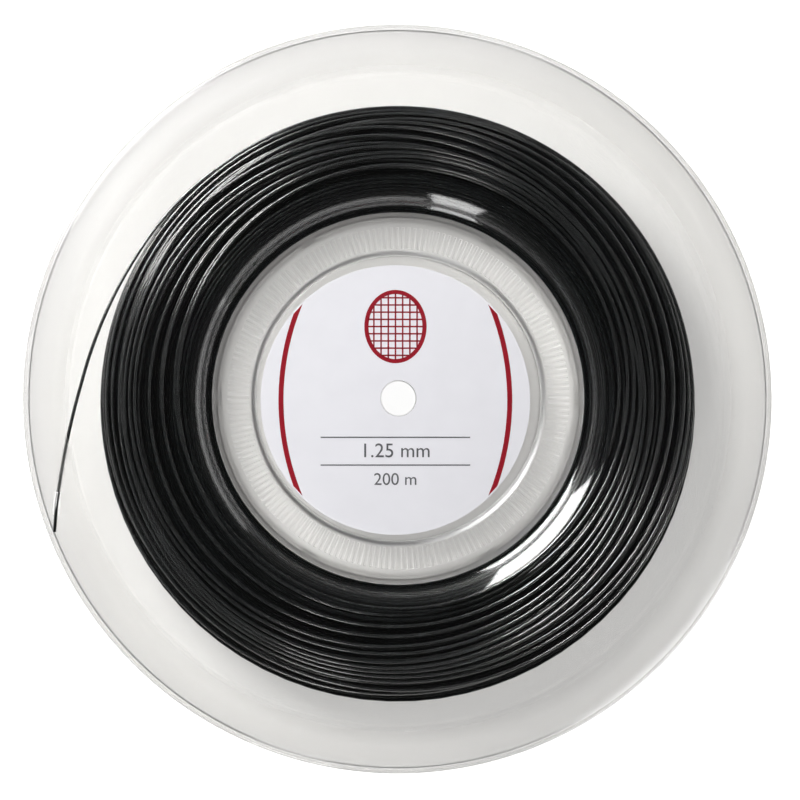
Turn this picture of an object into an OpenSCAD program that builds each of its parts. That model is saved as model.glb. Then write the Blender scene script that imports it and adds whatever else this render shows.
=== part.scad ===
// String reel for racket strings: two clear moulded halves that snap together, a paper
// label stuck in the front hub, and one long string wound between the flanges.
// The reel lies flat. +Z is its axis, and the origin is the centre of the face it rests on.

/* [Reel] */
// Diameter over the rims
rim_d = 270; // [256:1:290]
// Width over the two flat flanges
reel_w = 22; // [20:0.5:25]
// Thickness of the clear moulded wall
wall = 1.6; // [1.3:0.1:1.9]
// Gap between the two rims, where string is drawn out
rim_gap = 4; // [3:0.5:7]
// Diameter of the round bead along each rim
rim_bead_d = 2.4; // [2:0.1:3]
// Diameter at which the flat flange starts to bend in towards the rim
flange_flat_d = 239; // [232:1:244]
// Outer radius of that bend
lip_bend_r = 10.5; // [9:0.5:12]

/* [Hub] */
// Diameter of the drum that the string is wound on
drum_d = 134; // [130:1:138]
// Radius of the round shoulder between the flange and the hub well
shoulder_r = 12; // [10:0.5:14]
// Radius at the foot of the shoulder
shoulder_foot_r = 4; // [3:0.5:6]
// Depth of the serrated ledge below the flange
ledge_depth = 6.4; // [5.4:0.1:7]
// Inner diameter of the serrated ledge
ledge_in_d = 107.2; // [102:0.2:110]
// Radius along the inner edge of the ledge, on its underside
step_in_r = 0.4; // [0.3:0.1:1]
// Radius at the foot of the step down to the floor
step_foot_r = 0.4; // [0.3:0.1:1]
// Steepest slope of a moulded wall, from flat
wall_slope = 80; // [70:1:86]
// Diameter of the spindle bore
bore_d = 12.6; // [8:0.1:20]

/* [Serrations] */
// Number of radial ribs round the ledge
rib_count = 180; // [60:4:180]
// Width of a rib
rib_w = 0.9; // [0.6:0.1:1.2]
// Height of a rib
rib_h = 0.4; // [0.2:0.05:0.8]
// Plain margin between the ledge's inner edge and the ribs
rib_margin = 0.4; // [0.2:0.1:1]
// Plain margin between the ribs and the foot of the shoulder
rib_end_margin = 5.6; // [4.6:0.2:7]

/* [Snap joint of the halves] */
// Thickness of the drum's skirt
skirt_t = 1.6; // [1.3:0.1:2]
// Thickness of the locating spigot
spigot_t = 1.6; // [1.2:0.1:2]
// Gap between spigot and skirt, and beside each key
fit_gap = 0.15; // [0.1:0.05:0.3]
// Gap past the spigot's end and the keys' ends
end_gap = 0.4; // [0.2:0.1:0.8]
// Radius of the snap bead round the spigot
snap_r = 0.5; // [0.4:0.1:0.6]
// How far the snap bead stands out of the spigot
snap_h = 0.35; // [0.25:0.05:0.45]
// Number of keys that stop the halves from turning on each other
key_count = 6; // [3:1:12]
// Width of a key
key_w = 5; // [3:0.5:8]

/* [Label] */
// Thickness of the label
label_t = 0.25; // [0.1:0.05:0.5]
// Margin between the label, if it were centred, and the edge of the flat floor
label_margin = 2.4; // [2:0.1:4]
// How far off centre the label is stuck
label_off_x = -1.1; // [-1.3:0.1:1.3]
label_off_y = -0.6; // [-1.3:0.1:1.3]
// How far the label's hole clears the bore
label_hole_gap = 0.2; // [0.1:0.1:1]

/* [String] */
// Diameter of the string
string_d = 1.25; // [1.1:0.01:1.4]
// Diameter over the wound string
winding_d = 214.8; // [206:0.2:218]
// How far the loose winding hangs to one side of the axis
winding_drop = 2; // [0:0.5:3]
// How far the wound string falls away along its outer corners, and over what width
corner_drop = 3.5; // [2:0.1:4]
corner_w = 11; // [9:0.5:13]
// Gap between strands that lie on each other
strand_gap = 0.55; // [0.52:0.01:0.7]
// Gap between the winding and the flanges
flange_gap = 0.3; // [0.2:0.1:0.6]
// Gap between the outer strands and the body of the winding
seat_gap = 0.15; // [0.1:0.05:0.3]
// Gap between the body of the winding and the drum
drum_gap = 0.3; // [0.2:0.1:0.8]
// Room between the inmost strands and the shoulder
shoulder_gap = 1; // [0.8:0.2:4]
// Turns on the rear face, across the outside, and on each layer of the front face
rear_turns = 7; // [4:1:7]
cross_turns = 4; // [2:1:4]
front_turns = 6; // [3:1:6]
// Angle at which the free end leaves the winding
exit_angle = 128; // [110:1:150]
// Width of the slot in the front rim that holds the free end
slot_w = 2.8; // [2.2:0.1:4]

/* [Hidden] */
$fn = 72;
rim_r = rim_d / 2;
rim_bead_r = rim_bead_d / 2;
half_w = reel_w / 2;
flange_flat_r = flange_flat_d / 2;
drum_r = drum_d / 2;
ledge_in_r = ledge_in_d / 2;
bore_r = bore_d / 2;
string_r = string_d / 2;

// Points along an arc, at even angles of about arc_step
arc_step = 6;
function arc(centre, r, a0, a1) =
    let (n = ceil(abs(a1 - a0) / arc_step))
    [for (i = [0 : n]) let (a = a0 + (a1 - a0) * i / n) centre + r * [cos(a), sin(a)]];
function reversed(p) = [for (i = [len(p) - 1 : -1 : 0]) p[i]];

// An S-shaped wall goes down by drop, round a convex and then a concave radius, with a
// straight slope between them where the drop needs one
function s_slope(convex, concave, drop) =
    let (c = 1 - drop / (convex + concave)) c > cos(wall_slope) ? acos(c) : wall_slope;
function s_straight(convex, concave, drop) =
    let (a = s_slope(convex, concave, drop))
    max(0, (drop - (convex + concave) * (1 - cos(a))) / sin(a));
function s_run(convex, concave, drop) =
    let (a = s_slope(convex, concave, drop))
    (convex + concave) * sin(a) + s_straight(convex, concave, drop) * cos(a);

// One face of such a wall, depth below its upper face, which starts flat at [x, y] and
// goes inwards and down
function s_face(x, y, convex, concave, drop, depth) =
    let (a = s_slope(convex, concave, drop), run = s_run(convex, concave, drop))
    concat(arc([x, y - convex], convex - depth, 90, 90 + a),
        arc([x - run, y - drop + concave], concave + depth, 270 + a, 270));

// Heights in a half are measured outwards from the plane where the halves meet
flange_in_h = half_w - wall;
ledge_h = half_w - ledge_depth;
ledge_in_h = ledge_h - wall;
step_drop = ledge_h - wall;
step_r = wall + step_in_r;
shoulder_run = s_run(shoulder_r, shoulder_foot_r, ledge_depth);
flange_in_r = drum_r + shoulder_run;
floor_r = ledge_in_r - s_run(step_r, step_foot_r, step_drop);
rib_in_r = ledge_in_r + rib_margin;
rib_l = drum_r - rib_end_margin - rib_in_r;

// The lip runs straight from the bend, tangent to it, to the middle of the rim's bead. The
// bend is as large as leaves a bead's width of straight wall.
bead_centre = [rim_r - rim_bead_r, rim_gap / 2 + rim_bead_r];
lip_run = bead_centre[0] - flange_flat_r;
lip_drop = half_w - bead_centre[1];
bend_room = (lip_run ^ 2 + lip_drop ^ 2 - (wall / 2) ^ 2 - rim_bead_d ^ 2) / (2 * lip_drop - wall);
bend_r = min(lip_bend_r, bend_room);
lip_mid_r = bend_r - wall / 2;
bend_centre = [flange_flat_r, half_w - bend_r];
lip_reach = bead_centre - bend_centre;
lip_angle = 90 - atan2(lip_reach[1], lip_reach[0]) - acos(lip_mid_r / norm(lip_reach));
bead_cut = asin(wall / 2 / rim_bead_r);

skirt_in_r = drum_r - skirt_t;
spigot_r = skirt_in_r - fit_gap;
spigot_in_r = spigot_r - spigot_t;
spigot_l = ledge_in_h - end_gap;
snap_at = [spigot_r - snap_r + snap_h, -spigot_l / 2];
snap_cut = acos(1 - snap_h / snap_r);
groove_r = snap_r + fit_gap;
groove_at = [snap_at[0], -snap_at[1]];
groove_cut = acos((skirt_in_r - groove_at[0]) / groove_r);

label_r = floor_r - label_margin;
label_hole_r = bore_r + label_hole_gap;

// The strands' centres: radii from the axis, heights from the middle plane
wind_r = winding_d / 2 - string_r;
wind_in_r = flange_in_r + string_r + shoulder_gap;
front_h = flange_in_h - flange_gap - string_r;
under_h = front_h - string_d - strand_gap;
rear_h = -front_h;
core_front_h = under_h - string_r - seat_gap;
core_rear_h = rear_h + string_r + seat_gap;
core_in_r = drum_r + drum_gap;
core_foot_h = ledge_in_h - wall / 2;
flank_slope = ledge_depth / shoulder_run;

// The string goes out over the rear face, across to the front, in, and out again on top
rear_end = rear_turns;
cross_end = rear_end + cross_turns;
in_end = cross_end + front_turns;
climb_end = in_end + 0.5;
turns = climb_end + front_turns;
loop_rings = 24;
loop_sides = 6;

// A loop's straight stretches dip inside its circle, and the body lies clear of them
core_r = wind_r * cos(180 / loop_rings) - string_r - seat_gap;

wind_radii = [[0, wind_in_r], [rear_end, wind_r], [cross_end, wind_r],
    [in_end, wind_in_r], [climb_end, wind_in_r], [turns, wind_r]];
rear_fall = rear_turns * corner_w / (wind_r - wind_in_r);
front_fall = front_turns * corner_w / (wind_r - wind_in_r);
wind_heights = [[0, rear_h], [rear_end - rear_fall, rear_h], [rear_end, rear_h + corner_drop],
    [cross_end, under_h - corner_drop], [cross_end + front_fall, under_h], [in_end, under_h],
    [climb_end, front_h], [turns - front_fall, front_h], [turns, front_h - corner_drop]];

function wind_point(t) =
    let (r = lookup(t, wind_radii),
         a = exit_angle - 360 * (turns - t),
         share = (r - drum_r) / (wind_r - drum_r))
    [r * cos(a), r * sin(a) - winding_drop * share, half_w + lookup(t, wind_heights)];

function unit(v) = v / norm(v);

ring_step = 1 / loop_rings;
wind_loops = [for (t = [0 : ring_step : turns + ring_step / 2]) wind_point(min(t, turns))];
wind_last = len(wind_loops) - 1;
wind_in_dir = unit(wind_loops[0] - wind_loops[1]);
wind_out_dir = unit(wind_loops[wind_last] - wind_loops[wind_last - 1]);
wind_start = wind_loops[0] + wind_in_dir * string_d;
wind_end = wind_loops[wind_last] + wind_out_dir * string_d;
wind_path = concat([wind_start], wind_loops, [wind_end]);

// Least gap of the winding to itself, over points more than half a loop apart
half_loop = loop_rings / 2;
wind_gap = min([for (i = [0 : wind_last - half_loop], j = [i + half_loop : wind_last])
    norm(wind_loops[i] - wind_loops[j])]) - string_d;
echo(str("least gap of the winding to itself ", wind_gap, " mm"));

// The free end's route, chosen by hand: inside the reel, through the slot, and outside
tail_inside = [[-73, 76.5, 16], [-79, 70.9, 16], [-84.75, 64.45, 16], [-90.3, 57.1, 16],
    [-95.9, 48.5, 16], [-100.8, 39.8, 16], [-105, 31, 16], [-108.5, 22.4, 16],
    [-111.5, 13.8, 16], [-114, 5, 16], [-116.3, -3.6, 16], [-118.3, -12.2, 16],
    [-120, -20.5, 16], [-121.3, -28.5, 16]];
tail_crossing = [[-122.2, -35, 16.8], [-122.6, -38.2, 17.6], [-122.8, -41, 18.2]];
tail_outside = [[-123, -44.5, 18.5], [-123.3, -48, 18.4]];
tail_route = concat([wind_end], tail_inside, tail_crossing, tail_outside);
tail_steps = 3;
tail_sides = 8;

// A smooth curve through a route's points
function route_point(p, i, f) =
    let (a = p[max(i - 1, 0)], b = p[i], c = p[i + 1], d = p[min(i + 2, len(p) - 1)])
    0.5 * (2 * b + (c - a) * f + (2 * a - 5 * b + 4 * c - d) * f ^ 2
        + (3 * b - a - 3 * c + d) * f ^ 3);
function smooth(p, steps) = concat(
    [for (i = [0 : len(p) - 2], k = [0 : steps - 1]) route_point(p, i, k / steps)],
    [p[len(p) - 1]]);
tail_path = smooth(tail_route, tail_steps);
tail_l = route_length(tail_path);
function route_length(p) =
    [for (i = [1 : len(p) - 1]) norm(p[i] - p[i - 1])] * [for (i = [1 : len(p) - 1]) 1];
echo(str("length of the free end ", tail_l, " mm"));

// Colours as the photo shows them
clear_plastic = [0.88, 0.89, 0.89, 0.4];
label_paper = [0.92, 0.92, 0.94];
string_black = [0.07, 0.08, 0.08];

// Profile of a half. The skirt's points differ between the halves.
module half_profile(skirt) {
    polygon(concat(
        arc(bead_centre, rim_bead_r, bead_cut - lip_angle - 180, 180 - lip_angle - bead_cut),
        arc(bend_centre, bend_r, 90 - lip_angle, 90),
        s_face(flange_in_r, half_w, shoulder_r, shoulder_foot_r, ledge_depth, 0),
        s_face(ledge_in_r, ledge_h, step_r, step_foot_r, step_drop, 0),
        [[bore_r, wall], [bore_r, 0]],
        reversed(s_face(ledge_in_r, ledge_h, step_r, step_foot_r, step_drop, wall)),
        skirt,
        reversed(s_face(flange_in_r, half_w, shoulder_r, shoulder_foot_r, ledge_depth, wall)),
        arc(bend_centre, bend_r - wall, 90, 90 - lip_angle)));
}

// The front skirt goes on into a spigot with a snap bead, the rear one has the groove
front_skirt = concat(
    [[spigot_in_r, ledge_in_h], [spigot_in_r, -spigot_l], [spigot_r, -spigot_l]],
    arc(snap_at, snap_r, -snap_cut, snap_cut), [[spigot_r, 0], [drum_r, 0]]);
rear_skirt = concat([[skirt_in_r, ledge_in_h]],
    arc(groove_at, groove_r, groove_cut, -groove_cut), [[skirt_in_r, 0], [drum_r, 0]]);

// Radial ribs on the ledge
module serrations() {
    translate([0, 0, ledge_h - rib_h]) linear_extrude(2 * rib_h)
        for (i = [0 : rib_count - 1]) rotate(i * 360 / rib_count)
            translate([rib_in_r, -rib_w / 2]) square([rib_l, rib_w]);
}

// Keys, or the slots for them when gap is given
module keys(gap = 0) {
    for (i = [0 : key_count - 1]) rotate(i * 360 / key_count)
        translate([spigot_in_r - gap, -key_w / 2 - gap, end_gap - gap])
            cube([skirt_in_r - spigot_in_r + snap_h + gap, key_w + 2 * gap, ledge_in_h + gap]);
}

module front_half() {
    color(clear_plastic) difference() {
        translate([0, 0, half_w]) {
            rotate_extrude() half_profile(front_skirt);
            serrations();
        }
        translate([0, 0, half_w]) mirror([0, 0, 1]) keys(fit_gap);
        string_slot();
    }
}

module rear_half() {
    color(clear_plastic) translate([0, 0, half_w]) mirror([0, 0, 1]) {
        rotate_extrude() half_profile(rear_skirt);
        serrations();
        keys();
    }
}

// Cut through the front lip along the stretch where the free end crosses it
module string_slot() {
    from = tail_crossing[0];
    to = tail_crossing[len(tail_crossing) - 1];
    along = [to[0] - from[0], to[1] - from[1]];
    translate([from[0], from[1], half_w]) rotate(atan2(along[1], along[0]))
        linear_extrude(half_w) {
            circle(d = slot_w);
            translate([norm(along), 0]) circle(d = slot_w);
            translate([0, -slot_w / 2]) square([norm(along), slot_w]);
        }
}

module front_label() {
    color(label_paper) translate([0, 0, half_w + wall]) difference() {
        translate([label_off_x, label_off_y, 0]) cylinder(r = label_r, h = label_t);
        translate([0, 0, -label_t]) cylinder(r = label_hole_r, h = 3 * label_t);
    }
}

// Body of the winding: its flanks follow the shoulders, and its outside, with the corners
// fallen away, hangs to one side
module winding_core() {
    function flank_r(h) = core_in_r + (abs(h) - core_foot_h) / flank_slope;
    color(string_black) translate([0, 0, half_w]) intersection() {
        rotate_extrude() polygon([
            [core_in_r, -core_foot_h], [core_in_r, core_foot_h],
            [flank_r(core_front_h), core_front_h], [rim_r, core_front_h],
            [rim_r, core_rear_h], [flank_r(core_rear_h), core_rear_h]]);
        translate([0, -winding_drop, 0]) rotate_extrude() polygon([
            [0, core_rear_h], [core_r - corner_w, core_rear_h], [core_r, core_rear_h + corner_drop],
            [core_r, core_front_h - corner_drop], [core_r - corner_w, core_front_h], [0, core_front_h]]);
    }
}

// A tube swept along a path of points that never runs straight up or down
module tube(path, radius, sides) {
    last = len(path) - 1;
    rings = [for (i = [0 : last])
        let (along = unit(path[min(i + 1, last)] - path[max(i - 1, 0)]),
             side = unit(cross(along, [0, 0, 1])),
             up = cross(side, along))
        for (k = [0 : sides - 1])
            path[i] + radius * (cos(k * 360 / sides) * side + sin(k * 360 / sides) * up)];
    walls = [for (i = [0 : last - 1], k = [0 : sides - 1])
        let (a = i * sides + k, b = i * sides + (k + 1) % sides)
        each [[a, b + sides, b], [a, a + sides, b + sides]]];
    ends = [for (k = [1 : sides - 2]) each [[0, k, k + 1],
        [last * sides, last * sides + k + 1, last * sides + k]]];
    polyhedron(rings, concat(walls, ends));
}

module string_winding() {
    color(string_black) tube(wind_path, string_r, loop_sides);
}

module string_tail() {
    color(string_black) tube(tail_path, string_r, tail_sides);
}

rear_half();
front_half();
front_label();
winding_core();
string_winding();
string_tail();
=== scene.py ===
import math

import bmesh
import bpy
import numpy as np
from mathutils import Matrix, Vector


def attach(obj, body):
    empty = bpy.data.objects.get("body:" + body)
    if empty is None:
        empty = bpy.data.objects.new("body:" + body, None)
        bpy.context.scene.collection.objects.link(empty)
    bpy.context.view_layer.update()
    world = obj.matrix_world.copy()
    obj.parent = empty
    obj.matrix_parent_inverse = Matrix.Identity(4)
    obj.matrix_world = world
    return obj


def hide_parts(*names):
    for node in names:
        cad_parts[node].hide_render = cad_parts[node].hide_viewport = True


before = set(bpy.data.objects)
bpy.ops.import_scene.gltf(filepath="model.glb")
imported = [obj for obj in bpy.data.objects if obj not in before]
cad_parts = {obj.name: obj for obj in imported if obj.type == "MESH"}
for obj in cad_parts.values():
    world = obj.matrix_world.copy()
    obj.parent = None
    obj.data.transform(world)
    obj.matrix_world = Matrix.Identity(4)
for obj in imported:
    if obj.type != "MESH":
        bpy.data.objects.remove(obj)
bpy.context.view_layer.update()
scene = bpy.context.scene
scene.view_settings.view_transform = "Standard"
# light runs far inside the clear walls
scene.cycles.max_bounces = scene.cycles.transmission_bounces = 24
scene.cycles.transparent_max_bounces = 16
mm = 0.001  # sizes below are in millimetres where nothing else is said
print("frame loaded with", len(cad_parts), "solids")


# camera: straight down on the reel, a little from the lower left
cameraSettings = {
    "aim": (0.5, -0.65, 14.2),  # the point in the middle of the picture
    "lens": (-34, -24, 1164),  # where the lens is
    "frameWidth": 288.4,  # what the picture spans at the rims
    "sensorWidth": 36,
    "clip": (0.02, 50),  # metres
}


def placeCamera(s):
    data = bpy.data.cameras.new("reel_camera")
    camera = bpy.data.objects.new("reel_camera", data)
    scene.collection.objects.link(camera)
    eye, aim = Vector(s["lens"]) * mm, Vector(s["aim"]) * mm
    ahead = (aim - eye).normalized()
    right = ahead.cross(Vector((0, 1, 0))).normalized()
    up = right.cross(ahead)
    turned = Matrix((right, up, -ahead)).transposed().to_4x4()
    camera.matrix_world = Matrix.Translation(eye) @ turned
    data.sensor_width = s["sensorWidth"]
    data.lens = s["sensorWidth"] * (aim - eye).length / (s["frameWidth"] * mm)
    data.clip_start, data.clip_end = s["clip"]
    scene.camera = camera


placeCamera(cameraSettings)
print("camera placed")


# softboxes: a strong one from the upper left, a tall narrow one from below, and two dim wide low ones from
# the right and the lower right, all in metres and degrees
softboxes = {
    "softbox_left": {"side": (-0.69, 0.725), "rise": 25, "far": 0.95, "size": (0.56, 0.84), "glow": 13.6},
    "softbox_right": {"side": (0.99, 0.11), "rise": 10, "far": 1.2, "size": (1.6, 0.38), "glow": 1.4},
    "softbox_near": {"side": (-0.26, -0.966), "rise": 22, "far": 1.1, "size": (0.26, 0.7), "glow": 5},
    "softbox_fill": {"side": (0.5, -0.87), "rise": 11, "far": 1.2, "size": (1.7, 0.34), "glow": 1.2},
}
worldSettings = {"tint": (1, 0.995, 0.985), "zenith": 0.02, "horizon": 0.15, "bandTop": 0.77}


def placeSoftbox(name, s):
    data = bpy.data.lights.new(name, "AREA")
    data.shape = "RECTANGLE"
    data.size, data.size_y = s["size"]
    data.energy = s["glow"] * math.pi * s["size"][0] * s["size"][1]
    lamp = bpy.data.objects.new(name, data)
    scene.collection.objects.link(lamp)
    rise = math.radians(s["rise"])
    side = Vector((*s["side"], 0)).normalized() * math.cos(rise)
    lamp.location = (side + Vector((0, 0, math.sin(rise)))) * s["far"]
    lamp.rotation_euler = (-lamp.location).to_track_quat("-Z", "Y").to_euler()
    lamp.visible_camera = False


def lightWorld(s):
    world = bpy.data.worlds.new("studio")
    scene.world = world
    world.use_nodes = True
    nodes, links = world.node_tree.nodes, world.node_tree.links
    shade = nodes["Background"]
    where = nodes.new("ShaderNodeTexCoord")
    apart = nodes.new("ShaderNodeSeparateXYZ")
    band = nodes.new("ShaderNodeMapRange")
    band.inputs["From Max"].default_value = s["bandTop"]
    level = nodes.new("ShaderNodeMix")
    level.inputs[2].default_value, level.inputs[3].default_value = s["horizon"], s["zenith"]
    links.new(where.outputs["Generated"], apart.inputs[0])
    links.new(apart.outputs["Z"], band.inputs["Value"])
    links.new(band.outputs["Result"], level.inputs[0])
    links.new(level.outputs[0], shade.inputs["Strength"])
    shade.inputs["Color"].default_value = (*s["tint"], 1)


for name, s in softboxes.items():
    placeSoftbox(name, s)
lightWorld(worldSettings)
print("lights placed:", len(softboxes))


# effects that several finishes share
scuffSettings = {
    "turns": (0.6, -0.9), "stretch": (1, 0.04, 1), "lineDetail": 1, "lineFrom": 0.68, "lineTo": 0.76,
    "lineShare": 0.6, "hazeDetail": 3, "hazeShare": 0.5,
}
toneSettings = {"detail": 4, "from": 0.3, "to": 0.7}


def newGroup(name, inputs, outputs):
    tree = bpy.data.node_groups.new(name, "ShaderNodeTree")
    for socket, kind in inputs:
        tree.interface.new_socket(socket, in_out="INPUT", socket_type=kind)
    for socket, kind in outputs:
        tree.interface.new_socket(socket, in_out="OUTPUT", socket_type=kind)
    return tree, tree.nodes.new("NodeGroupInput"), tree.nodes.new("NodeGroupOutput")


def nodeMath(tree, operation, *values):
    node = tree.nodes.new("ShaderNodeMath")
    node.operation = operation
    for socket, value in zip(node.inputs, values):
        if isinstance(value, (int, float)):
            socket.default_value = value
        else:
            tree.links.new(value, socket)
    return node.outputs[0]


def addNoise(tree, detail, vector, scale):
    noise = tree.nodes.new("ShaderNodeTexNoise")
    noise.inputs["Detail"].default_value = detail
    tree.links.new(vector, noise.inputs["Vector"])
    tree.links.new(scale, noise.inputs["Scale"])
    return noise.outputs[0]


def addRange(tree, value, low, high):
    # 0 to 1 between low and high
    span = tree.nodes.new("ShaderNodeMapRange")
    span.inputs["From Min"].default_value = low
    span.inputs["From Max"].default_value = high
    tree.links.new(value, span.inputs["Value"])
    return span.outputs["Result"]


def makeScuffGroup(s):
    # thin rubbed lines in two directions over a cloudy haze, 0 to 1
    tree, given, out = newGroup(
        "handlingScuffs",
        [("Vector", "NodeSocketVector"), ("Line Scale", "NodeSocketFloat"),
         ("Haze Scale", "NodeSocketFloat")],
        [("Mask", "NodeSocketFloat")],
    )
    lines = []
    for turn in s["turns"]:
        spun = tree.nodes.new("ShaderNodeMapping")
        spun.inputs["Rotation"].default_value = (0, 0, turn)
        spun.inputs["Scale"].default_value = s["stretch"]
        tree.links.new(given.outputs["Vector"], spun.inputs["Vector"])
        grain = addNoise(tree, s["lineDetail"], spun.outputs[0], given.outputs["Line Scale"])
        lines.append(addRange(tree, grain, s["lineFrom"], s["lineTo"]))
    haze = addNoise(tree, s["hazeDetail"], given.outputs["Vector"], given.outputs["Haze Scale"])
    faint = nodeMath(tree, "MULTIPLY", haze, s["hazeShare"])
    total = nodeMath(tree, "MULTIPLY_ADD", nodeMath(tree, "MAXIMUM", *lines), s["lineShare"], faint)
    total.node.use_clamp = True
    tree.links.new(total, out.inputs["Mask"])
    return tree


def makeToneGroup(s):
    # two close shades of one colour in soft clouds
    tree, given, out = newGroup(
        "cloudedTone",
        [("Vector", "NodeSocketVector"), ("Scale", "NodeSocketFloat"),
         ("Shade A", "NodeSocketColor"), ("Shade B", "NodeSocketColor")],
        [("Color", "NodeSocketColor"), ("Height", "NodeSocketFloat")],
    )
    cloud = addNoise(tree, s["detail"], given.outputs["Vector"], given.outputs["Scale"])
    mix = tree.nodes.new("ShaderNodeMix")
    mix.data_type = "RGBA"  # 6, 7 and 2 are its colour sockets
    tree.links.new(addRange(tree, cloud, s["from"], s["to"]), mix.inputs[0])
    tree.links.new(given.outputs["Shade A"], mix.inputs[6])
    tree.links.new(given.outputs["Shade B"], mix.inputs[7])
    tree.links.new(mix.outputs[2], out.inputs["Color"])
    tree.links.new(cloud, out.inputs["Height"])
    return tree


scuffGroup = makeScuffGroup(scuffSettings)
toneGroup = makeToneGroup(toneSettings)

finishes = {
    "clearMould": {
        "shades": ((0.925, 0.922, 0.917), (0.94, 0.937, 0.932)), "toneScale": 14,
        "rough": (0.05, 0.1), "lineScale": 500, "hazeScale": 18, "bump": 0.02, "bumpDepth": 0.3,
        "plain": {"Transmission Weight": 1.0, "IOR": 1.57},
        "shadowTint": (0.965, 0.965, 0.96),
    },
    # partly real haze from the rough surface, partly painted shade: the lip's tint is darker than the
    # flange's, so that the lip reads greyer
    "hazyLip": {
        "shades": ((0.825, 0.821, 0.815), (0.85, 0.846, 0.84)), "toneScale": 14,
        "rough": (0.42, 0.43), "lineScale": 500, "hazeScale": 18, "bump": 0.02, "bumpDepth": 0.3,
        "plain": {"Transmission Weight": 1.0, "IOR": 1.12},
        "shadowTint": (0.93, 0.93, 0.92),
    },
    "satinHub": {
        "shades": ((0.89, 0.885, 0.875), (0.91, 0.905, 0.897)), "toneScale": 20,
        "rough": (0.3, 0.38), "lineScale": 500, "hazeScale": 24, "bump": 0.02, "bumpDepth": 0.3,
        "plain": {"Transmission Weight": 1.0, "IOR": 1.57},
        "shadowTint": (0.95, 0.95, 0.945),
    },
    "rubbedRib": {
        "shades": ((0.88, 0.875, 0.865), (0.92, 0.915, 0.905)), "toneScale": 60,
        "rough": (0.6, 0.7), "lineScale": 500, "hazeScale": 24, "bump": 0.02, "bumpDepth": 0.3,
        "plain": {"Transmission Weight": 1.0, "IOR": 1.57},
        "shadowTint": (0.93, 0.93, 0.925),
    },
    # painted shade: the walls inside the drum get a dark tint and a dark shadow tint, so that they read
    # darker than the clear plastic
    "deepWall": {
        "shades": ((0.36, 0.355, 0.35), (0.42, 0.415, 0.41)), "toneScale": 30,
        "rough": (0.3, 0.38), "lineScale": 500, "hazeScale": 24, "bump": 0.02, "bumpDepth": 0.3,
        "plain": {"Transmission Weight": 1.0, "IOR": 1.57},
        "shadowTint": (0.7, 0.7, 0.69),
    },
    "wetBlackString": {
        "shades": ((0.003, 0.0036, 0.0038), (0.008, 0.0094, 0.0098)), "toneScale": 220,
        "rough": (0.16, 0.22), "lineScale": 900, "hazeScale": 90, "bump": 0.02, "bumpDepth": 0.03,
        "plain": {"IOR": 1.8, "Specular IOR Level": 1.0},
    },
    "shadedString": {  # the turns below, darker and duller than the face turns with their reflection turned down: painted shade where the turns above shade them
        "shades": ((0.002, 0.0024, 0.0026), (0.005, 0.0058, 0.006)), "toneScale": 220,
        "rough": (0.28, 0.36), "lineScale": 900, "hazeScale": 90, "bump": 0.02, "bumpDepth": 0.03,
        "plain": {"IOR": 1.5, "Specular IOR Level": 0.1},
    },
    "labelPaper": {
        "shades": ((0.835, 0.83, 0.87), (0.86, 0.855, 0.895)), "toneScale": 90,
        "rough": (0.38, 0.55), "lineScale": 700, "hazeScale": 60, "bump": 0.06, "bumpDepth": 0.03,
        "plain": {"IOR": 1.48},
    },
    "redInk": {
        "shades": ((0.29, 0.008, 0.018), (0.34, 0.011, 0.023)), "toneScale": 160,
        "rough": (0.3, 0.46), "lineScale": 700, "hazeScale": 60, "bump": 0.04, "bumpDepth": 0.02,
        "plain": {"IOR": 1.48},
    },
    "greyInk": {
        "shades": ((0.10, 0.10, 0.108), (0.13, 0.13, 0.138)), "toneScale": 160,
        "rough": (0.32, 0.5), "lineScale": 700, "hazeScale": 60, "bump": 0.04, "bumpDepth": 0.02,
        "plain": {"IOR": 1.48},
    },
}


def makeFinish(name, s):
    material = bpy.data.materials.new(name)
    material.use_nodes = True
    nodes, links = material.node_tree.nodes, material.node_tree.links
    shader, out = nodes["Principled BSDF"], nodes["Material Output"]
    where = nodes.new("ShaderNodeTexCoord")
    tone = nodes.new("ShaderNodeGroup")
    tone.node_tree = toneGroup
    tone.inputs["Scale"].default_value = s["toneScale"]
    tone.inputs["Shade A"].default_value = (*s["shades"][0], 1)
    tone.inputs["Shade B"].default_value = (*s["shades"][1], 1)
    scuff = nodes.new("ShaderNodeGroup")
    scuff.node_tree = scuffGroup
    scuff.inputs["Line Scale"].default_value = s["lineScale"]
    scuff.inputs["Haze Scale"].default_value = s["hazeScale"]
    rough = nodes.new("ShaderNodeMapRange")
    rough.inputs["To Min"].default_value, rough.inputs["To Max"].default_value = s["rough"]
    bump = nodes.new("ShaderNodeBump")
    bump.inputs["Strength"].default_value = s["bump"]
    bump.inputs["Distance"].default_value = s["bumpDepth"] * mm
    links.new(where.outputs["Object"], tone.inputs["Vector"])
    links.new(where.outputs["Object"], scuff.inputs["Vector"])
    links.new(tone.outputs["Color"], shader.inputs["Base Color"])
    links.new(scuff.outputs["Mask"], rough.inputs["Value"])
    links.new(rough.outputs["Result"], shader.inputs["Roughness"])
    links.new(tone.outputs["Height"], bump.inputs["Height"])
    links.new(bump.outputs["Normal"], shader.inputs["Normal"])
    for socket, value in s["plain"].items():
        shader.inputs[socket].default_value = value
    if "shadowTint" in s:  # lamps shine through the clear wall
        path = nodes.new("ShaderNodeLightPath")
        through = nodes.new("ShaderNodeBsdfTransparent")
        through.inputs["Color"].default_value = (*s["shadowTint"], 1)
        either = nodes.new("ShaderNodeMixShader")
        links.new(path.outputs["Is Shadow Ray"], either.inputs[0])
        links.new(shader.outputs[0], either.inputs[1])
        links.new(through.outputs[0], either.inputs[2])
        links.new(either.outputs[0], out.inputs["Surface"])
    return material


finish = {name: makeFinish(name, s) for name, s in finishes.items()}
print("finishes made:", ", ".join(finish))


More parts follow.
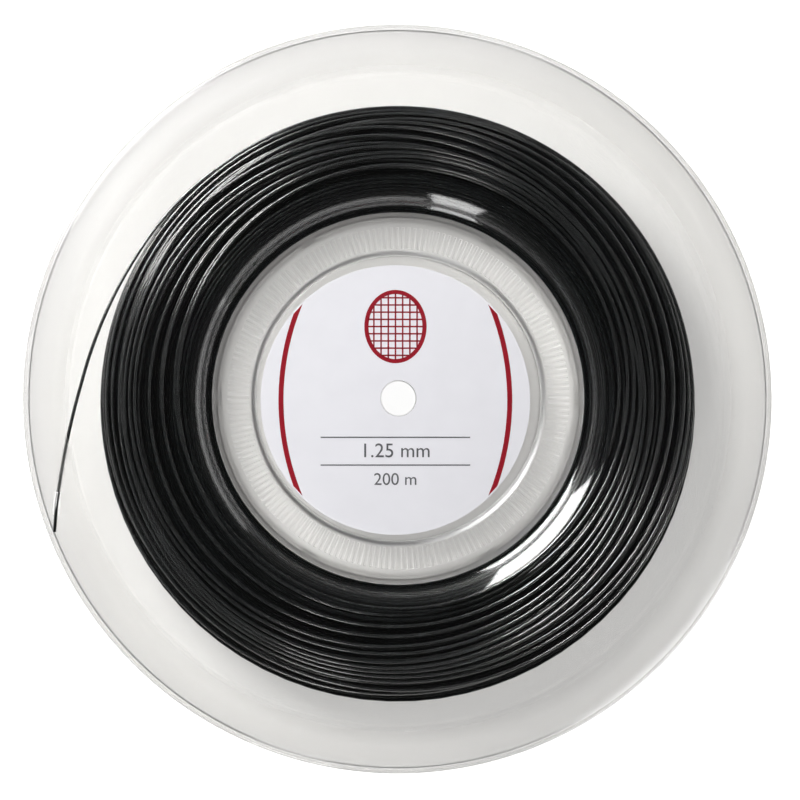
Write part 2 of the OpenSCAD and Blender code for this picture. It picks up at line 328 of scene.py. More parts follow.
# floor: white paper that keeps the reel's shadow
floorSettings = {
    "half": 6.0,  # metres
    "sunk": 0.5, "albedo": (0.47, 0.467, 0.462), "rough": 0.9, "glow": (1, 0.998, 0.994),
    # how far it glows, so that it is white
    "lift": {"Is Camera Ray": 0.92, "Is Glossy Ray": 0.42, "Is Transmission Ray": 0.1},
}


def makeFloor(s):
    half, z = s["half"], -s["sunk"] * mm
    corners = [(-half, -half, z), (half, -half, z), (half, half, z), (-half, half, z)]
    mesh = bpy.data.meshes.new("floor")
    mesh.from_pydata(corners, [], [(0, 1, 2, 3)])
    floor = bpy.data.objects.new("floor", mesh)
    scene.collection.objects.link(floor)
    material = bpy.data.materials.new("paperSweep")
    material.use_nodes = True
    tree = material.node_tree
    shader = tree.nodes["Principled BSDF"]
    shader.inputs["Base Color"].default_value = (*s["albedo"], 1)
    shader.inputs["Roughness"].default_value = s["rough"]
    shader.inputs["Specular IOR Level"].default_value = 0.0
    shader.inputs["Emission Color"].default_value = (*s["glow"], 1)
    path = tree.nodes.new("ShaderNodeLightPath")
    glow = 0
    for kind, lift in s["lift"].items():
        glow = nodeMath(tree, "MULTIPLY_ADD", path.outputs[kind], lift, glow)
    tree.links.new(glow, shader.inputs["Emission Strength"])
    mesh.materials.append(material)


makeFloor(floorSettings)
print("floor laid")


# free end of the string: out of the winding, along inside the flange, through the slot
tailSettings = {
    "stringD": 1.25,
    "length": 0.1457,  # metres, end to end as the photo shows it
    "stepsBetween": 2,
    "rounds": 4,  # steps in a quarter of the section
    "route": [
        (-66.818, 81.512, 15.973), (-73, 76.5, 16), (-79, 70.9, 16), (-84.75, 64.45, 16), (-90.3, 57.1, 16),
        (-95.9, 48.5, 16), (-100.8, 39.8, 16), (-105, 31, 16), (-108.5, 22.4, 16), (-111.5, 13.8, 16),
        (-114, 5, 16), (-116.3, -3.6, 16), (-118.3, -12.2, 16), (-120, -20.5, 16), (-121.3, -28.5, 16),
        (-122.2, -35, 16.8), (-122.6, -38.2, 17.6), (-122.8, -41, 18.2), (-123, -44.5, 18.5),
        (-123.3, -48, 18.4),
    ],
}


def smoothRoute(points, steps):
    # a smooth line through the points, with steps between each two
    pts = [Vector(p) for p in points]
    out = []
    for i in range(len(pts) - 1):
        a, b, c = pts[max(i - 1, 0)], pts[i], pts[i + 1]
        d = pts[min(i + 2, len(pts) - 1)]
        square, cube = 2 * a - 5 * b + 4 * c - d, 3 * b - a - 3 * c + d
        for k in range(steps):
            f = k / steps
            out.append(0.5 * (2 * b + (c - a) * f + square * f**2 + cube * f**3))
    return out + [pts[-1]]


def makeTail(s):
    route = [p * mm for p in smoothRoute(s["route"], s["stepsBetween"])]
    data = bpy.data.curves.new("string_free_end", "CURVE")
    data.dimensions = "3D"
    spline = data.splines.new("POLY")
    spline.points.add(len(route) - 1)
    for point, p in zip(spline.points, route):
        point.co = (*p, 1)
    spline.use_smooth = True
    data.bevel_depth = s["stringD"] / 2 * mm
    data.bevel_resolution = s["rounds"]
    data.use_fill_caps = True
    data.materials.append(finish["wetBlackString"])
    tail = bpy.data.objects.new("string_free_end", data)
    scene.collection.objects.link(tail)
    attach(tail, "root")
    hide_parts("string_tail")


makeTail(tailSettings)
print("free end laid")


# reel: sizes that its two clear halves share
reel = {
    "rimD": 270, "width": 22, "wall": 1.6, "rimGap": 4, "beadD": 2.4, "flatD": 239, "bendR": 10.5,
    "drumD": 134, "shoulderR": 12, "shoulderFootR": 4, "ledgeDepth": 6.4, "ledgeInD": 107.2,
    "stepR": 2.0, "stepFootR": 0.4, "wallSlope": 80, "boreD": 12.6, "skirtT": 1.6, "spigotT": 1.6,
    "fitGap": 0.15, "endGap": 0.4, "snapR": 0.5, "snapH": 0.35, "keyCount": 6, "keyW": 5,
    "keyRoot": 0.5,  # how much of the wall the keys reach into
    "seam": 0.015,  # faces that touch stay this far back, so that light passes them cleanly
    "facet": {"bead": 20, "snap": 24, "wall": 4, "wallIn": 5, "step": 11, "stepIn": 12},  # degrees
    "sharpAngle": 50,
}
ribSettings = {
    "count": 180, "height": 0.4, "inR": 54.0, "outR": 61.4, "flank": 0.16,
    "columns": (0.0, 0.085, 0.46, 0.545),  # shares of a rib's pitch where its edges are
}
slotSettings = {"from": (-122.2, -35), "to": (-122.8, -41), "width": 2.8, "rounds": 8}

halfW = reel["width"] / 2
wall = reel["wall"]
drumR = reel["drumD"] / 2
ledgeH = halfW - reel["ledgeDepth"]
ledgeInH = ledgeH - wall


def arcPoints(centre, r, a0, a1, step):
    n = max(1, math.ceil(abs(a1 - a0) / step))
    angles = [math.radians(a0 + (a1 - a0) * i / n) for i in range(n + 1)]
    return [(centre[0] + r * math.cos(a), centre[1] + r * math.sin(a)) for a in angles]


def wallSlope(convex, concave, drop):
    # slope and straight length of an S-shaped wall that goes down by drop
    level = 1 - drop / (convex + concave)
    steepest = math.radians(reel["wallSlope"])
    if level > math.cos(steepest):
        return math.acos(level), 0
    return steepest, (drop - (convex + concave) * (1 - math.cos(steepest))) / math.sin(steepest)


def wallRun(convex, concave, drop):
    slope, straight = wallSlope(convex, concave, drop)
    return (convex + concave) * math.sin(slope) + straight * math.cos(slope)


def wallFace(x, y, convex, concave, drop, depth, step):
    # one face of an S-shaped wall, depth below its upper face
    slope = math.degrees(wallSlope(convex, concave, drop)[0])
    run = wallRun(convex, concave, drop)
    top = arcPoints((x, y - convex), convex - depth, 90, 90 + slope, step)
    foot = arcPoints((x - run, y - drop + concave), concave + depth, 270 + slope, 270, step)
    return top + (foot if slope >= reel["wallSlope"] else foot[1:])


shoulder = (drumR + wallRun(reel["shoulderR"], reel["shoulderFootR"], reel["ledgeDepth"]), halfW,
            reel["shoulderR"], reel["shoulderFootR"], reel["ledgeDepth"])
hubStep = (reel["ledgeInD"] / 2, ledgeH, reel["stepR"], reel["stepFootR"], ledgeH - wall)


def skirtPoints(front):
    # inside of the drum: the front half's spigot with its bead, or the rear half's socket with its groove
    r = reel
    skirtIn = drumR - r["skirtT"]
    spigotR = skirtIn - r["fitGap"]
    spigotL = ledgeInH - r["endGap"]
    snap = (spigotR - r["snapR"] + r["snapH"], -spigotL / 2)
    if front:
        cut = math.degrees(math.acos(1 - r["snapH"] / r["snapR"]))
        inner = spigotR - r["spigotT"]
        return ([(inner, ledgeInH), (inner, -spigotL), (spigotR, -spigotL)]
                + arcPoints(snap, r["snapR"], -cut, cut, r["facet"]["snap"]) + [(spigotR, 0), (drumR, 0)])
    groove = r["snapR"] + r["fitGap"]
    cut = math.degrees(math.acos((skirtIn - snap[0]) / groove))
    return ([(skirtIn, ledgeInH)] + arcPoints((snap[0], -snap[1]), groove, cut, -cut, r["facet"]["snap"])
            + [(skirtIn, 0), (drumR, 0)])


def halfOutline(front):
    # section of one half, as radius and height above the parting plane
    r, facet = reel, reel["facet"]
    beadR = r["beadD"] / 2
    bead = (r["rimD"] / 2 - beadR, r["rimGap"] / 2 + beadR)
    bend = (r["flatD"] / 2, halfW - r["bendR"])
    reach = Vector((bead[0] - bend[0], bead[1] - bend[1]))
    lean = 90 - math.degrees(math.atan2(reach.y, reach.x) + math.acos((r["bendR"] - wall / 2) / reach.length))
    cut = math.degrees(math.asin(wall / 2 / beadR))
    ribs = ribSettings
    ledge = [(x, ledgeH) for x in (
        ribs["outR"] + ribs["flank"], ribs["outR"], ribs["inR"], ribs["inR"] - ribs["flank"])]
    outer = (arcPoints(bead, beadR, cut - lean - 180, 180 - lean - cut, facet["bead"])
             + arcPoints(bend, r["bendR"], 90 - lean, 90, facet["wall"])
             + wallFace(*shoulder, 0, facet["wall"]) + ledge + wallFace(*hubStep, 0, facet["step"]))
    inner = (wallFace(*hubStep, wall, facet["stepIn"])[::-1] + skirtPoints(front)
             + wallFace(*shoulder, wall, facet["wallIn"])[::-1]
             + arcPoints(bend, r["bendR"] - wall, 90, 90 - lean, facet["wallIn"]))
    outline = outer + [(r["boreD"] / 2, wall), (r["boreD"] / 2, 0)] + inner
    floorTop = outer[-1][1]
    setBack = {0: r["seam"], round(floorTop, 6): floorTop - r["seam"]}
    return [(x, setBack.get(round(h, 6), h)) for x, h in outline]


def spinOutline(name, outline, front):
    # the outline goes round the axis once, with columns where the ribs' edges are
    columns = ribSettings["columns"]
    pitch = math.tau / ribSettings["count"]
    angles = [(i + u) * pitch for i in range(ribSettings["count"]) for u in columns]
    n, side = len(outline), 1 if front else -1
    verts = [(x * math.cos(a) * mm, x * math.sin(a) * mm, (halfW + side * h) * mm)
             for a in angles for x, h in outline]
    faces = []
    for c in range(len(angles)):
        here, there = c * n, (c + 1) % len(angles) * n
        faces += [(here + i, here + (i + 1) % n, there + (i + 1) % n, there + i) for i in range(n)]
    mesh = bpy.data.meshes.new(name)
    mesh.from_pydata(verts, [], faces)
    onLedge = mesh.attributes.new("onLedge", "FLOAT", "POINT")
    flags = [1.0 if abs(h - ledgeH) < 1e-6 else 0.0 for x, h in outline] * len(angles)
    onLedge.data.foreach_set("value", flags)
    fixNormals(mesh)
    made = bpy.data.objects.new(name, mesh)
    scene.collection.objects.link(made)
    return made


def fixNormals(mesh):
    bm = bmesh.new()
    bm.from_mesh(mesh)
    bmesh.ops.recalc_face_normals(bm, faces=bm.faces)
    bm.to_mesh(mesh)
    bm.free()


def prism(name, outline, low, high):
    # a closed block on a flat outline, in millimetres
    n = len(outline)
    verts = [(x * mm, y * mm, z * mm) for z in (low, high) for x, y in outline]
    faces = [tuple(range(n)), tuple(range(n, 2 * n))]
    faces += [(i, (i + 1) % n, n + (i + 1) % n, n + i) for i in range(n)]
    mesh = bpy.data.meshes.new(name)
    mesh.from_pydata(verts, [], faces)
    fixNormals(mesh)
    made = bpy.data.objects.new(name, mesh)
    scene.collection.objects.link(made)
    return made


def slotCutter(s):
    a, b = Vector(s["from"]), Vector(s["to"])
    turn = math.degrees(math.atan2(b.y - a.y, b.x - a.x))
    step = 180 / s["rounds"]
    outline = (arcPoints(b, s["width"] / 2, turn - 90, turn + 90, step)
               + arcPoints(a, s["width"] / 2, turn + 90, turn + 270, step))
    return prism("slot_cutter", outline, halfW, 2 * halfW)


def keyBlocks(name, gap):
    # keys of the rear half, or the openings for them in the front half's spigot
    r = reel
    skirtIn = drumR - r["skirtT"]
    inner = skirtIn - r["fitGap"] - r["spigotT"] - gap
    outer, half = skirtIn + r["snapH"], r["keyW"] / 2 + gap
    low, high = halfW - ledgeInH - r["keyRoot"] * wall, halfW - r["endGap"] + gap
    blocks = []
    for k in range(r["keyCount"]):
        turn = Matrix.Rotation(math.tau * k / r["keyCount"], 2)
        corners = [turn @ Vector(c) for c in ((inner, -half), (outer, -half), (outer, half), (inner, half))]
        blocks.append(prism(name, corners, low, high))
    return joinPieces(name, blocks)


def joinPieces(name, pieces):
    bm = bmesh.new()
    for piece in pieces:
        bm.from_mesh(piece.data)
        bpy.data.objects.remove(piece)
    mesh = bpy.data.meshes.new(name)
    bm.to_mesh(mesh)
    bm.free()
    made = bpy.data.objects.new(name, mesh)
    scene.collection.objects.link(made)
    return made


def newTree(name, inputs):
    tree = bpy.data.node_groups.new(name, "GeometryNodeTree")
    tree.interface.new_socket("Geometry", in_out="INPUT", socket_type="NodeSocketGeometry")
    for socket, kind in inputs:
        tree.interface.new_socket(socket, in_out="INPUT", socket_type=kind)
    tree.interface.new_socket("Geometry", in_out="OUTPUT", socket_type="NodeSocketGeometry")
    return tree, tree.nodes.new("NodeGroupInput"), tree.nodes.new("NodeGroupOutput")


def endTree(tree, given, out, geometry):
    realize = tree.nodes.new("GeometryNodeRealizeInstances")
    paint = tree.nodes.new("GeometryNodeSetMaterial")
    tree.links.new(geometry, realize.inputs["Geometry"])
    tree.links.new(realize.outputs["Geometry"], paint.inputs["Geometry"])
    tree.links.new(given.outputs["Material"], paint.inputs["Material"])
    tree.links.new(paint.outputs["Geometry"], out.inputs["Geometry"])


def makeRibTree():
    # raises the ledge's marked points wherever a radial rib stands
    tree, given, out = newTree("ledgeRibs", [
        ("Rib Count", "NodeSocketInt"), ("Rib Height", "NodeSocketFloat"),
        ("Inner Radius", "NodeSocketFloat"), ("Outer Radius", "NodeSocketFloat"),
        ("Rib Start", "NodeSocketFloat"), ("Rib End", "NodeSocketFloat"),
        ("Material", "NodeSocketMaterial")])
    nodes, links = tree.nodes, tree.links
    place = nodes.new("GeometryNodeInputPosition")
    apart = nodes.new("ShaderNodeSeparateXYZ")
    links.new(place.outputs[0], apart.inputs[0])
    x, y = apart.outputs["X"], apart.outputs["Y"]
    squares = [nodeMath(tree, "MULTIPLY", v, v) for v in (x, y)]
    radius = nodeMath(tree, "SQRT", nodeMath(tree, "ADD", *squares))
    turns = nodeMath(tree, "DIVIDE", nodeMath(tree, "ARCTAN2", y, x), math.tau)
    phase = nodeMath(tree, "FRACT", nodeMath(tree, "MULTIPLY", turns, given.outputs["Rib Count"]))
    tests = [
        nodeMath(tree, "GREATER_THAN", phase, given.outputs["Rib Start"]),
        nodeMath(tree, "LESS_THAN", phase, given.outputs["Rib End"]),
        nodeMath(tree, "GREATER_THAN", radius, given.outputs["Inner Radius"]),
        nodeMath(tree, "LESS_THAN", radius, given.outputs["Outer Radius"]),
    ]
    marked = nodes.new("GeometryNodeInputNamedAttribute")
    marked.data_type = "FLOAT"
    marked.inputs["Name"].default_value = "onLedge"
    raised = marked.outputs["Attribute"]
    for test in tests:
        raised = nodeMath(tree, "MULTIPLY", raised, test)
    lift = nodes.new("ShaderNodeCombineXYZ")
    links.new(nodeMath(tree, "MULTIPLY", raised, given.outputs["Rib Height"]), lift.inputs["Z"])
    move = nodes.new("GeometryNodeSetPosition")
    links.new(given.outputs["Geometry"], move.inputs["Geometry"])
    links.new(lift.outputs[0], move.inputs["Offset"])
    endTree(tree, given, out, move.outputs["Geometry"])
    return tree


def makeSweepTree():
    # one string of round section along a line of points
    tree, given, out = newTree("sweptString", [
        ("String Radius", "NodeSocketFloat"), ("Sides", "NodeSocketInt"), ("Material", "NodeSocketMaterial")])
    nodes, links = tree.nodes, tree.links
    line = nodes.new("GeometryNodeMeshToCurve")
    ring = nodes.new("GeometryNodeCurvePrimitiveCircle")
    sweep = nodes.new("GeometryNodeCurveToMesh")
    sweep.inputs["Fill Caps"].default_value = True
    smooth = nodes.new("GeometryNodeSetShadeSmooth")
    links.new(given.outputs["Geometry"], line.inputs["Mesh"])
    links.new(given.outputs["Sides"], ring.inputs["Resolution"])
    links.new(given.outputs["String Radius"], ring.inputs["Radius"])
    links.new(line.outputs["Curve"], sweep.inputs["Curve"])
    links.new(ring.outputs["Curve"], sweep.inputs["Profile Curve"])
    links.new(sweep.outputs["Mesh"], smooth.inputs["Geometry"])
    endTree(tree, given, out, smooth.outputs["Geometry"])
    return tree


def addNodes(piece, tree, values):
    modifier = piece.modifiers.new(tree.name, "NODES")
    modifier.node_group = tree
    for socket in tree.interface.items_tree:
        if socket.in_out == "INPUT" and socket.name in values:
            modifier[socket.identifier] = values[socket.name]


def freezeShape(piece):
    # what the modifiers make becomes the piece's own mesh
    graph = bpy.context.evaluated_depsgraph_get()
    mesh = bpy.data.meshes.new_from_object(
        piece.evaluated_get(graph), preserve_all_data_layers=True, depsgraph=graph)
    piece.modifiers.clear()
    piece.data = mesh
    mesh.name = piece.name
    return mesh


def cutWith(piece, tool, operation):
    modifier = piece.modifiers.new(tool.name, "BOOLEAN")
    modifier.operation = operation
    modifier.solver = "EXACT"
    modifier.object = tool


# looks of a half in the order of its material slots: the lip and the hub are hazier than the flange between
# them, and the rim's bead is as clear as the flange; the lip's tint is also darker as painted shade, and the
# walls inside the drum get a dark tint of painted shade
zones = ("clearMould", "hazyLip", "satinHub", "rubbedRib", "deepWall")
zoneSettings = {
    "lipFrom": 0.2, "drumFrom": 0.05, "shadeWallIn": 4, "shadeWallBelow": 0.01, "ribSide": 0.2, "ribAbove": 0.05,
}


def zoneOf(at, s):
    # look of a face, by where its middle lies
    r, h = at.xy.length / mm, abs(at.z / mm - halfW)
    # the lip: rough haze, with a darker tint as painted shade
    if reel["flatD"] / 2 + s["lipFrom"] < r < reel["rimD"] / 2 - reel["beadD"]:
        return "hazyLip"
    if r > drumR + s["drumFrom"]:
        return "clearMould"
    # painted shade: the drum's wall faces below the ledge take the dark wall finish
    if r > drumR - s["shadeWallIn"] and h < ledgeInH - s["shadeWallBelow"]:
        return "deepWall"
    onRibs = ribSettings["inR"] - s["ribSide"] < r < ribSettings["outR"] + s["ribSide"]
    return "rubbedRib" if onRibs and h > ledgeH + s["ribAbove"] else "satinHub"


def makeHalf(name, node, front):
    half = spinOutline(name, halfOutline(front), front)
    tools = [(keyBlocks("key_blocks", reel["fitGap"] if front else 0), "DIFFERENCE" if front else "UNION")]
    if front:
        tools.append((slotCutter(slotSettings), "DIFFERENCE"))
    for tool, operation in tools:
        cutWith(half, tool, operation)
    ribs = ribSettings
    flank = ribs["flank"] / 2
    addNodes(half, ribTree, {
        "Rib Count": ribs["count"], "Rib Height": ribs["height"] * mm * (1 if front else -1),
        "Inner Radius": (ribs["inR"] - flank) * mm, "Outer Radius": (ribs["outR"] + flank) * mm,
        "Rib Start": sum(ribs["columns"][:2]) / 2, "Rib End": sum(ribs["columns"][2:]) / 2,
        "Material": finish[zones[0]]})
    mesh = freezeShape(half)
    for tool, operation in tools:
        bpy.data.objects.remove(tool)
    mesh.attributes.remove(mesh.attributes["onLedge"])
    for zone in zones[1:]:
        mesh.materials.append(finish[zone])
    for face in mesh.polygons:
        face.material_index = zones.index(zoneOf(face.center, zoneSettings))
    mesh.shade_smooth()
    mesh.set_sharp_from_angle(angle=math.radians(reel["sharpAngle"]))
    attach(half, "root")
    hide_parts(node)
    print(name, "has", sum(len(p.vertices) - 2 for p in mesh.polygons), "triangles")


ribTree = makeRibTree()
sweepTree = makeSweepTree()
makeHalf("front_clear_half", "front_half", True)
makeHalf("rear_clear_half", "rear_half", False)


# winding: the whole string, from the free end inwards, layer on layer to the drum
windingSettings = {
    "wholeLength": 200.0,  # metres on a full reel, with the free end
    "stringD": 1.25, "outerR": 106.775, "faceH": 8.475, "drop": 2.0, "exitAngle": 128,
    "cornerDrop": 3.5, "cornerW": 11, "cornerSteps": 12,  # the outer corners fall away
    "skinInR": 80.0,  # how far in the last turns go
    "skins": ({"turns": 12, "wander": 3.2}, {"turns": 10, "wander": 2.4}),  # the last turns, from the top
    "bunch": 1.6, "uneven": 0.9, "unevenRate": 1.9, "calm": 20, "fadeTurns": 0.8,
    "wander": 0.3, "slack": 0.5, "layerShare": 0.85,  # the layers below
    "pitchFrom": 1.1, "pitchTo": 2.2, "pitchTries": 30,
    "pointsPerTurn": 72, "sides": 7, "split": 0.52,
    # times a turn, size, start
    "waves": ((1.0, 1.25, 0.25), (0.9, 0.6, 0.1), (1.13, 0.5, 0.6), (2.15, 0.4, 0.35)),
    "clear": 1.27, "rounds": 20, "stiff": 0.25, "passes": 3, "flankGap": 0.25, "pinned": 10,
    "apart": 9,  # added to a strand's gap to itself, so that it isn't pushed
}


def windingLimits(s):
    # how far out along the axis a strand's centre may lie, by radius
    depth = wall + s["stringD"] / 2 + s["flankGap"]
    flank = wallFace(*shoulder, depth, reel["facet"]["wall"])[::-1]
    fallen = np.linspace(0, 1, s["cornerSteps"])
    radii = [x for x, h in flank] + list(s["outerR"] - s["cornerW"] * (1 - fallen))
    heights = [h for x, h in flank] + list(s["faceH"] - s["cornerDrop"] * fallen)
    return np.array(radii), np.minimum(np.array(heights), s["faceH"])


def faceTurns(s):
    return sum(skin["turns"] for skin in s["skins"])


def bulkTurns(s, pitch):
    # radius and height at the start of each turn, back and forth in layers down to the drum
    radii, heights = windingLimits(s)
    inmost = drumR + s["stringD"] / 2 + s["flankGap"]
    step = pitch * s["layerShare"]
    turns = []
    for layer in range(int((s["outerR"] - inmost) / step) + 1):
        r = s["outerR"] - layer * step
        low = -float(np.interp(r, radii, heights))
        high = -low - ((len(s["skins"]) + s["slack"]) * s["clear"] if r > s["skinInR"] else 0)
        count = max(2, round((high - low) / pitch) + 1)
        across = np.linspace(high, low, count)
        turns += [(r, h) for h in (across if layer % 2 == 0 else across[::-1])]
    return turns


def planTurns(s):
    # the last turns wander over the front face, and the rest of the length fills the room below
    plan, reach = [], []
    for k, skin in enumerate(s["skins"]):
        share = np.linspace(0, 1, skin["turns"]) ** s["bunch"]
        radii = s["outerR"] - skin["wander"] - (s["outerR"] - skin["wander"] - s["skinInR"]) * share
        radii += s["uneven"] * np.sin(s["unevenRate"] * np.arange(skin["turns"]) ** 2)
        plan += [(r, 0) for r in (radii if k % 2 == 0 else radii[::-1])]
        reach += [skin["wander"]] * skin["turns"]
    target = (s["wholeLength"] - tailSettings["length"]) / (math.tau * mm) - sum(r for r, h in plan)
    tight, loose = s["pitchFrom"], s["pitchTo"]
    for _ in range(s["pitchTries"]):  # to the widest pitch that still takes the whole length
        pitch = (tight + loose) / 2
        if sum(r for r, h in bulkTurns(s, pitch)) > target:
            tight = pitch
        else:
            loose = pitch
    plan += bulkTurns(s, tight)
    reach += [s["wander"]] * (len(plan) - len(reach))
    print("winding:", len(plan), "turns at a pitch of", round(tight, 3), "mm")
    return np.array(plan), np.array(reach)


def layTurns(s):
    plan, reach = planTurns(s)
    turns, per = len(plan), s["pointsPerTurn"]
    t = np.arange(turns * per) / per
    r, h, reach = [np.interp(t, np.arange(turns), column) for column in (plan[:, 0], plan[:, 1], reach)]
    fade = np.clip(t / s["fadeTurns"], 0, 1) ** 2
    r = fade * r + (1 - fade) * s["outerR"]
    for rate, size, start in s["waves"]:
        r += fade * reach * size * np.sin(math.tau * (rate * t + start))
    radii, heights = windingLimits(s)
    r = np.clip(r, drumR + s["stringD"] / 2 + s["flankGap"], s["outerR"])
    top = np.interp(r, radii, heights)
    start = 0
    for k, skin in enumerate(s["skins"]):  # each layer of the face lies on the one below
        now = (t >= start) & (t < start + skin["turns"])
        h[now] = (top - k * s["clear"])[now]
        start += skin["turns"]
    rh = relaxTurns(np.stack([r, h], axis=1), turns, per, s)
    face = rh[s["pinned"] - 1 : faceTurns(s) * per]
    for _ in range(s["calm"]):  # the turns in sight run smoothly
        face[1:-1] = (face[:-2] + 2 * face[1:-1] + face[2:]) / 4
    return rh


def relaxTurns(rh, turns, per, s):
    # strands that overlap in a slice push each other apart, and the string stays smooth
    radii, heights = windingLimits(s)
    inmost = drumR + s["stringD"] / 2 + s["flankGap"]
    pinned = rh[: s["pinned"]].copy()
    own = np.eye(turns) * s["apart"]
    for _ in range(s["rounds"]):
        slices = rh.reshape(turns, per, 2)
        for k in range(per):
            p = slices[:, k]
            dr, dh = p[:, 0][:, None] - p[:, 0][None], p[:, 1][:, None] - p[:, 1][None]
            gap = np.sqrt(dr * dr + dh * dh + 1e-6) + own
            push = np.clip(s["clear"] - gap, 0, None) * 0.5 / gap  # each of two gives way by half
            slices[:, k, 0] += (dr * push).sum(1)
            slices[:, k, 1] += (dh * push).sum(1)
        for _ in range(s["passes"]):
            rh[1:-1] = (1 - 2 * s["stiff"]) * rh[1:-1] + s["stiff"] * (rh[:-2] + rh[2:])
        rh[:, 0] = np.clip(rh[:, 0], inmost, s["outerR"])
        top = np.interp(rh[:, 0], radii, heights)
        rh[:, 1] = np.clip(rh[:, 1], -top, top)
        rh[: s["pinned"]] = pinned
    return rh


def windingPath(s):
    # the winding's centre line, which hangs a little below the axis on the outside
    rh = layTurns(s)
    t = np.arange(len(rh)) / s["pointsPerTurn"]
    angle = math.radians(s["exitAngle"]) - math.tau * t
    share = (rh[:, 0] - drumR) / (s["outerR"] - drumR)
    x, y = rh[:, 0] * np.cos(angle), rh[:, 0] * np.sin(angle) - s["drop"] * share
    path = np.stack([x, y, halfW + rh[:, 1]], axis=1)
    path = np.vstack([[tailSettings["route"][0]], path]) * mm
    length = np.linalg.norm(np.diff(path, axis=0), axis=1).sum()
    print("winding holds", round(float(length), 2), "m of string")
    return path


def finerPath(path):
    # a smooth point between each two, by the four-point rule
    ends = np.vstack([2 * path[0] - path[1], path, 2 * path[-1] - path[-2]])
    between = (9 * (ends[1:-2] + ends[2:-1]) - ends[:-3] - ends[3:]) / 16
    finer = np.empty((2 * len(path) - 1, 3))
    finer[::2], finer[1::2] = path, between
    return finer


def makeStrand(name, path, nodes, look, s):
    mesh = bpy.data.meshes.new(name)
    mesh.from_pydata(path.tolist(), [(i, i + 1) for i in range(len(path) - 1)], [])
    strand = bpy.data.objects.new(name, mesh)
    scene.collection.objects.link(strand)
    addNodes(strand, sweepTree, {
        "String Radius": s["stringD"] / 2 * mm, "Sides": s["sides"], "Material": finish[look]})
    made = freezeShape(strand)
    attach(strand, "root")
    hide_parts(*nodes)
    print(name, "has", sum(len(p.vertices) - 2 for p in made.polygons), "triangles")


stringPath = windingPath(windingSettings)
cutFace = faceTurns(windingSettings) * windingSettings["pointsPerTurn"]
cutBulk = int(len(stringPath) * windingSettings["split"])
makeStrand("string_face_turns", finerPath(stringPath[: cutFace + 1]), ["string_winding"],
           "wetBlackString", windingSettings)
# the layers below take the darker string finish with no highlights, painted shade under the face turns
makeStrand("string_outer_layers", stringPath[cutFace : cutBulk + 1], ["string_winding", "winding_core"],
           "shadedString", windingSettings)
makeStrand("string_inner_layers", stringPath[cutBulk:], ["winding_core"],
           "shadedString", windingSettings)


# label: the paper disc is the solid itself, the print lies on it
labelSettings = {
    "radius": 48.66, "off": (-1.1, -0.6), "top": 12.85, "inkT": 0.03, "edge": 0.5,
    "bowX": 41.3, "bowR": 91, "bowW": 1.8, "bowFacet": 1.5,
    "headAt": (0, 26.5), "headSize": (10.5, 12.5), "headRim": 1.5, "headPieces": 72,
    "stringGap": 2.6, "stringW": 0.55, "stringLap": 0.3,
    "ruleY": (-13.5, -23.5), "ruleHalf": 27, "ruleW": 0.45,
    "marks": (("1.25 mm", 0, -18.5, 7.2), ("200 m", 0, -28.8, 6.2)),
}


def inkBlock(name, outlines, s):
    blocks = [prism(name, outline, s["top"], s["top"] + s["inkT"]) for outline in outlines]
    return joinPieces(name, blocks)


def sideBow(sign, s):
    centre = (-sign * (s["bowR"] - s["bowX"]), 0)
    far, inside = s["bowR"] - s["bowX"], s["radius"] - s["edge"]
    rIn, rOut = s["bowR"] - s["bowW"] / 2, s["bowR"] + s["bowW"] / 2
    reach = []
    for r in (rIn, rOut):  # where the bow meets the label's edge
        reach.append(math.degrees(math.acos((far**2 + r**2 - inside**2) / (2 * far * r))))
    middle = 0 if sign > 0 else 180
    return (arcPoints(centre, rIn, middle - reach[0], middle + reach[0], s["bowFacet"])
            + arcPoints(centre, rOut, middle + reach[1], middle - reach[1], s["bowFacet"]))


def ellipsePoints(at, size, count):
    angles = [math.tau * i / count for i in range(count)]
    return [(at[0] + size[0] * math.cos(a), at[1] + size[1] * math.sin(a)) for a in angles]


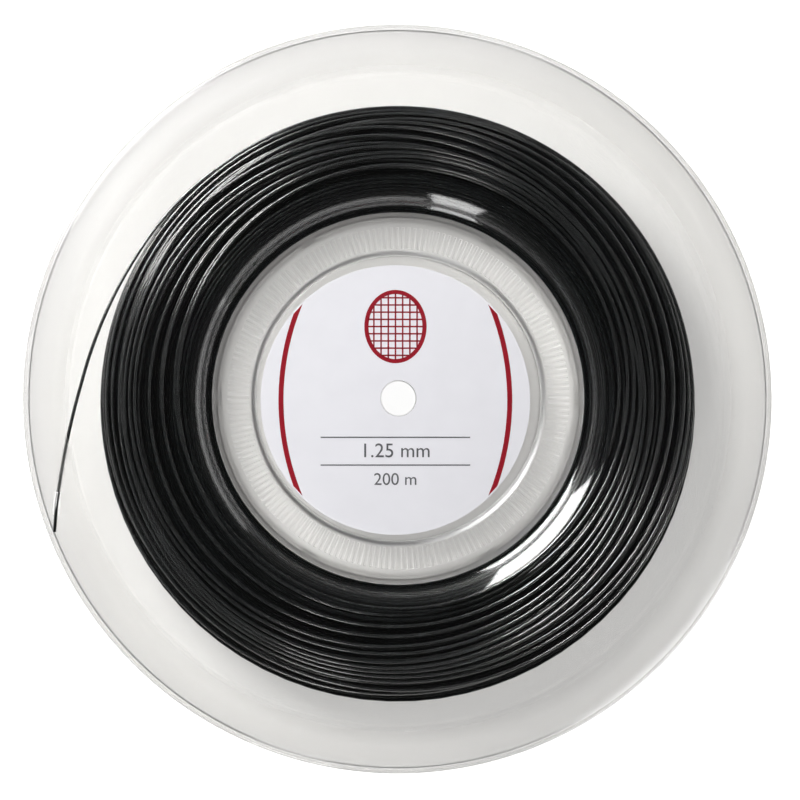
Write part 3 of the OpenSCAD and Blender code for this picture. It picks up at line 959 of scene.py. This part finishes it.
def racketHead(s):
    # an oval rim in short pieces, with crossing strings inside it
    count, rim = s["headPieces"], s["headRim"]
    inner = [a - rim / 2 for a in s["headSize"]]
    outer = [a + rim / 2 for a in s["headSize"]]
    a, b = ellipsePoints(s["headAt"], inner, count), ellipsePoints(s["headAt"], outer, count)
    shapes = [[a[i], b[i], b[(i + 1) % count], a[(i + 1) % count]] for i in range(count)]
    w = s["stringW"] / 2
    for axis in (0, 1):
        lanes = int(inner[axis] / s["stringGap"])
        for k in range(-lanes, lanes + 1):
            off = k * s["stringGap"]
            reach = inner[1 - axis] * math.sqrt(max(0.0, 1 - (off / inner[axis]) ** 2)) + s["stringLap"]
            box = [(off - w, -reach), (off + w, -reach), (off + w, reach), (off - w, reach)]
            if axis:
                box = [(y, x) for x, y in box]
            shapes.append([(s["headAt"][0] + x, s["headAt"][1] + y) for x, y in box])
    return shapes


def numberMark(text, x, y, height, s):
    data = bpy.data.curves.new("mark", "FONT")
    data.body = text
    data.size = height * mm
    data.align_x, data.align_y = "CENTER", "CENTER"
    data.extrude = s["inkT"] / 2 * mm
    made = bpy.data.objects.new("mark", data)
    scene.collection.objects.link(made)
    graph = bpy.context.evaluated_depsgraph_get()
    mesh = bpy.data.meshes.new_from_object(made.evaluated_get(graph))
    bpy.data.objects.remove(made)
    mesh.transform(Matrix.Translation(Vector((x, y, s["top"] + s["inkT"] / 2)) * mm))
    piece = bpy.data.objects.new("mark", mesh)
    scene.collection.objects.link(piece)
    return piece


def printLabel(s):
    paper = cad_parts["front_label"]
    paper.data.materials.clear()
    paper.data.materials.append(finish["labelPaper"])
    bows = inkBlock("label_red_bows", [sideBow(1, s), sideBow(-1, s)], s)
    head = inkBlock("label_red_head", racketHead(s), s)
    half, w = s["ruleHalf"], s["ruleW"] / 2
    lines = [[(-half, y - w), (half, y - w), (half, y + w), (-half, y + w)] for y in s["ruleY"]]
    rules = inkBlock("label_rules", lines, s)
    marks = joinPieces("label_numbers", [numberMark(*mark, s) for mark in s["marks"]])
    for piece, ink in ((bows, "redInk"), (head, "redInk"), (rules, "greyInk"), (marks, "greyInk")):
        piece.data.materials.clear()
        piece.data.materials.append(finish[ink])
        piece.data.transform(Matrix.Translation(Vector((*s["off"], 0)) * mm))
        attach(piece, "root")


printLabel(labelSettings)
print("label printed")


for block in [m for m in bpy.data.meshes if not m.users]:
    bpy.data.meshes.remove(block)
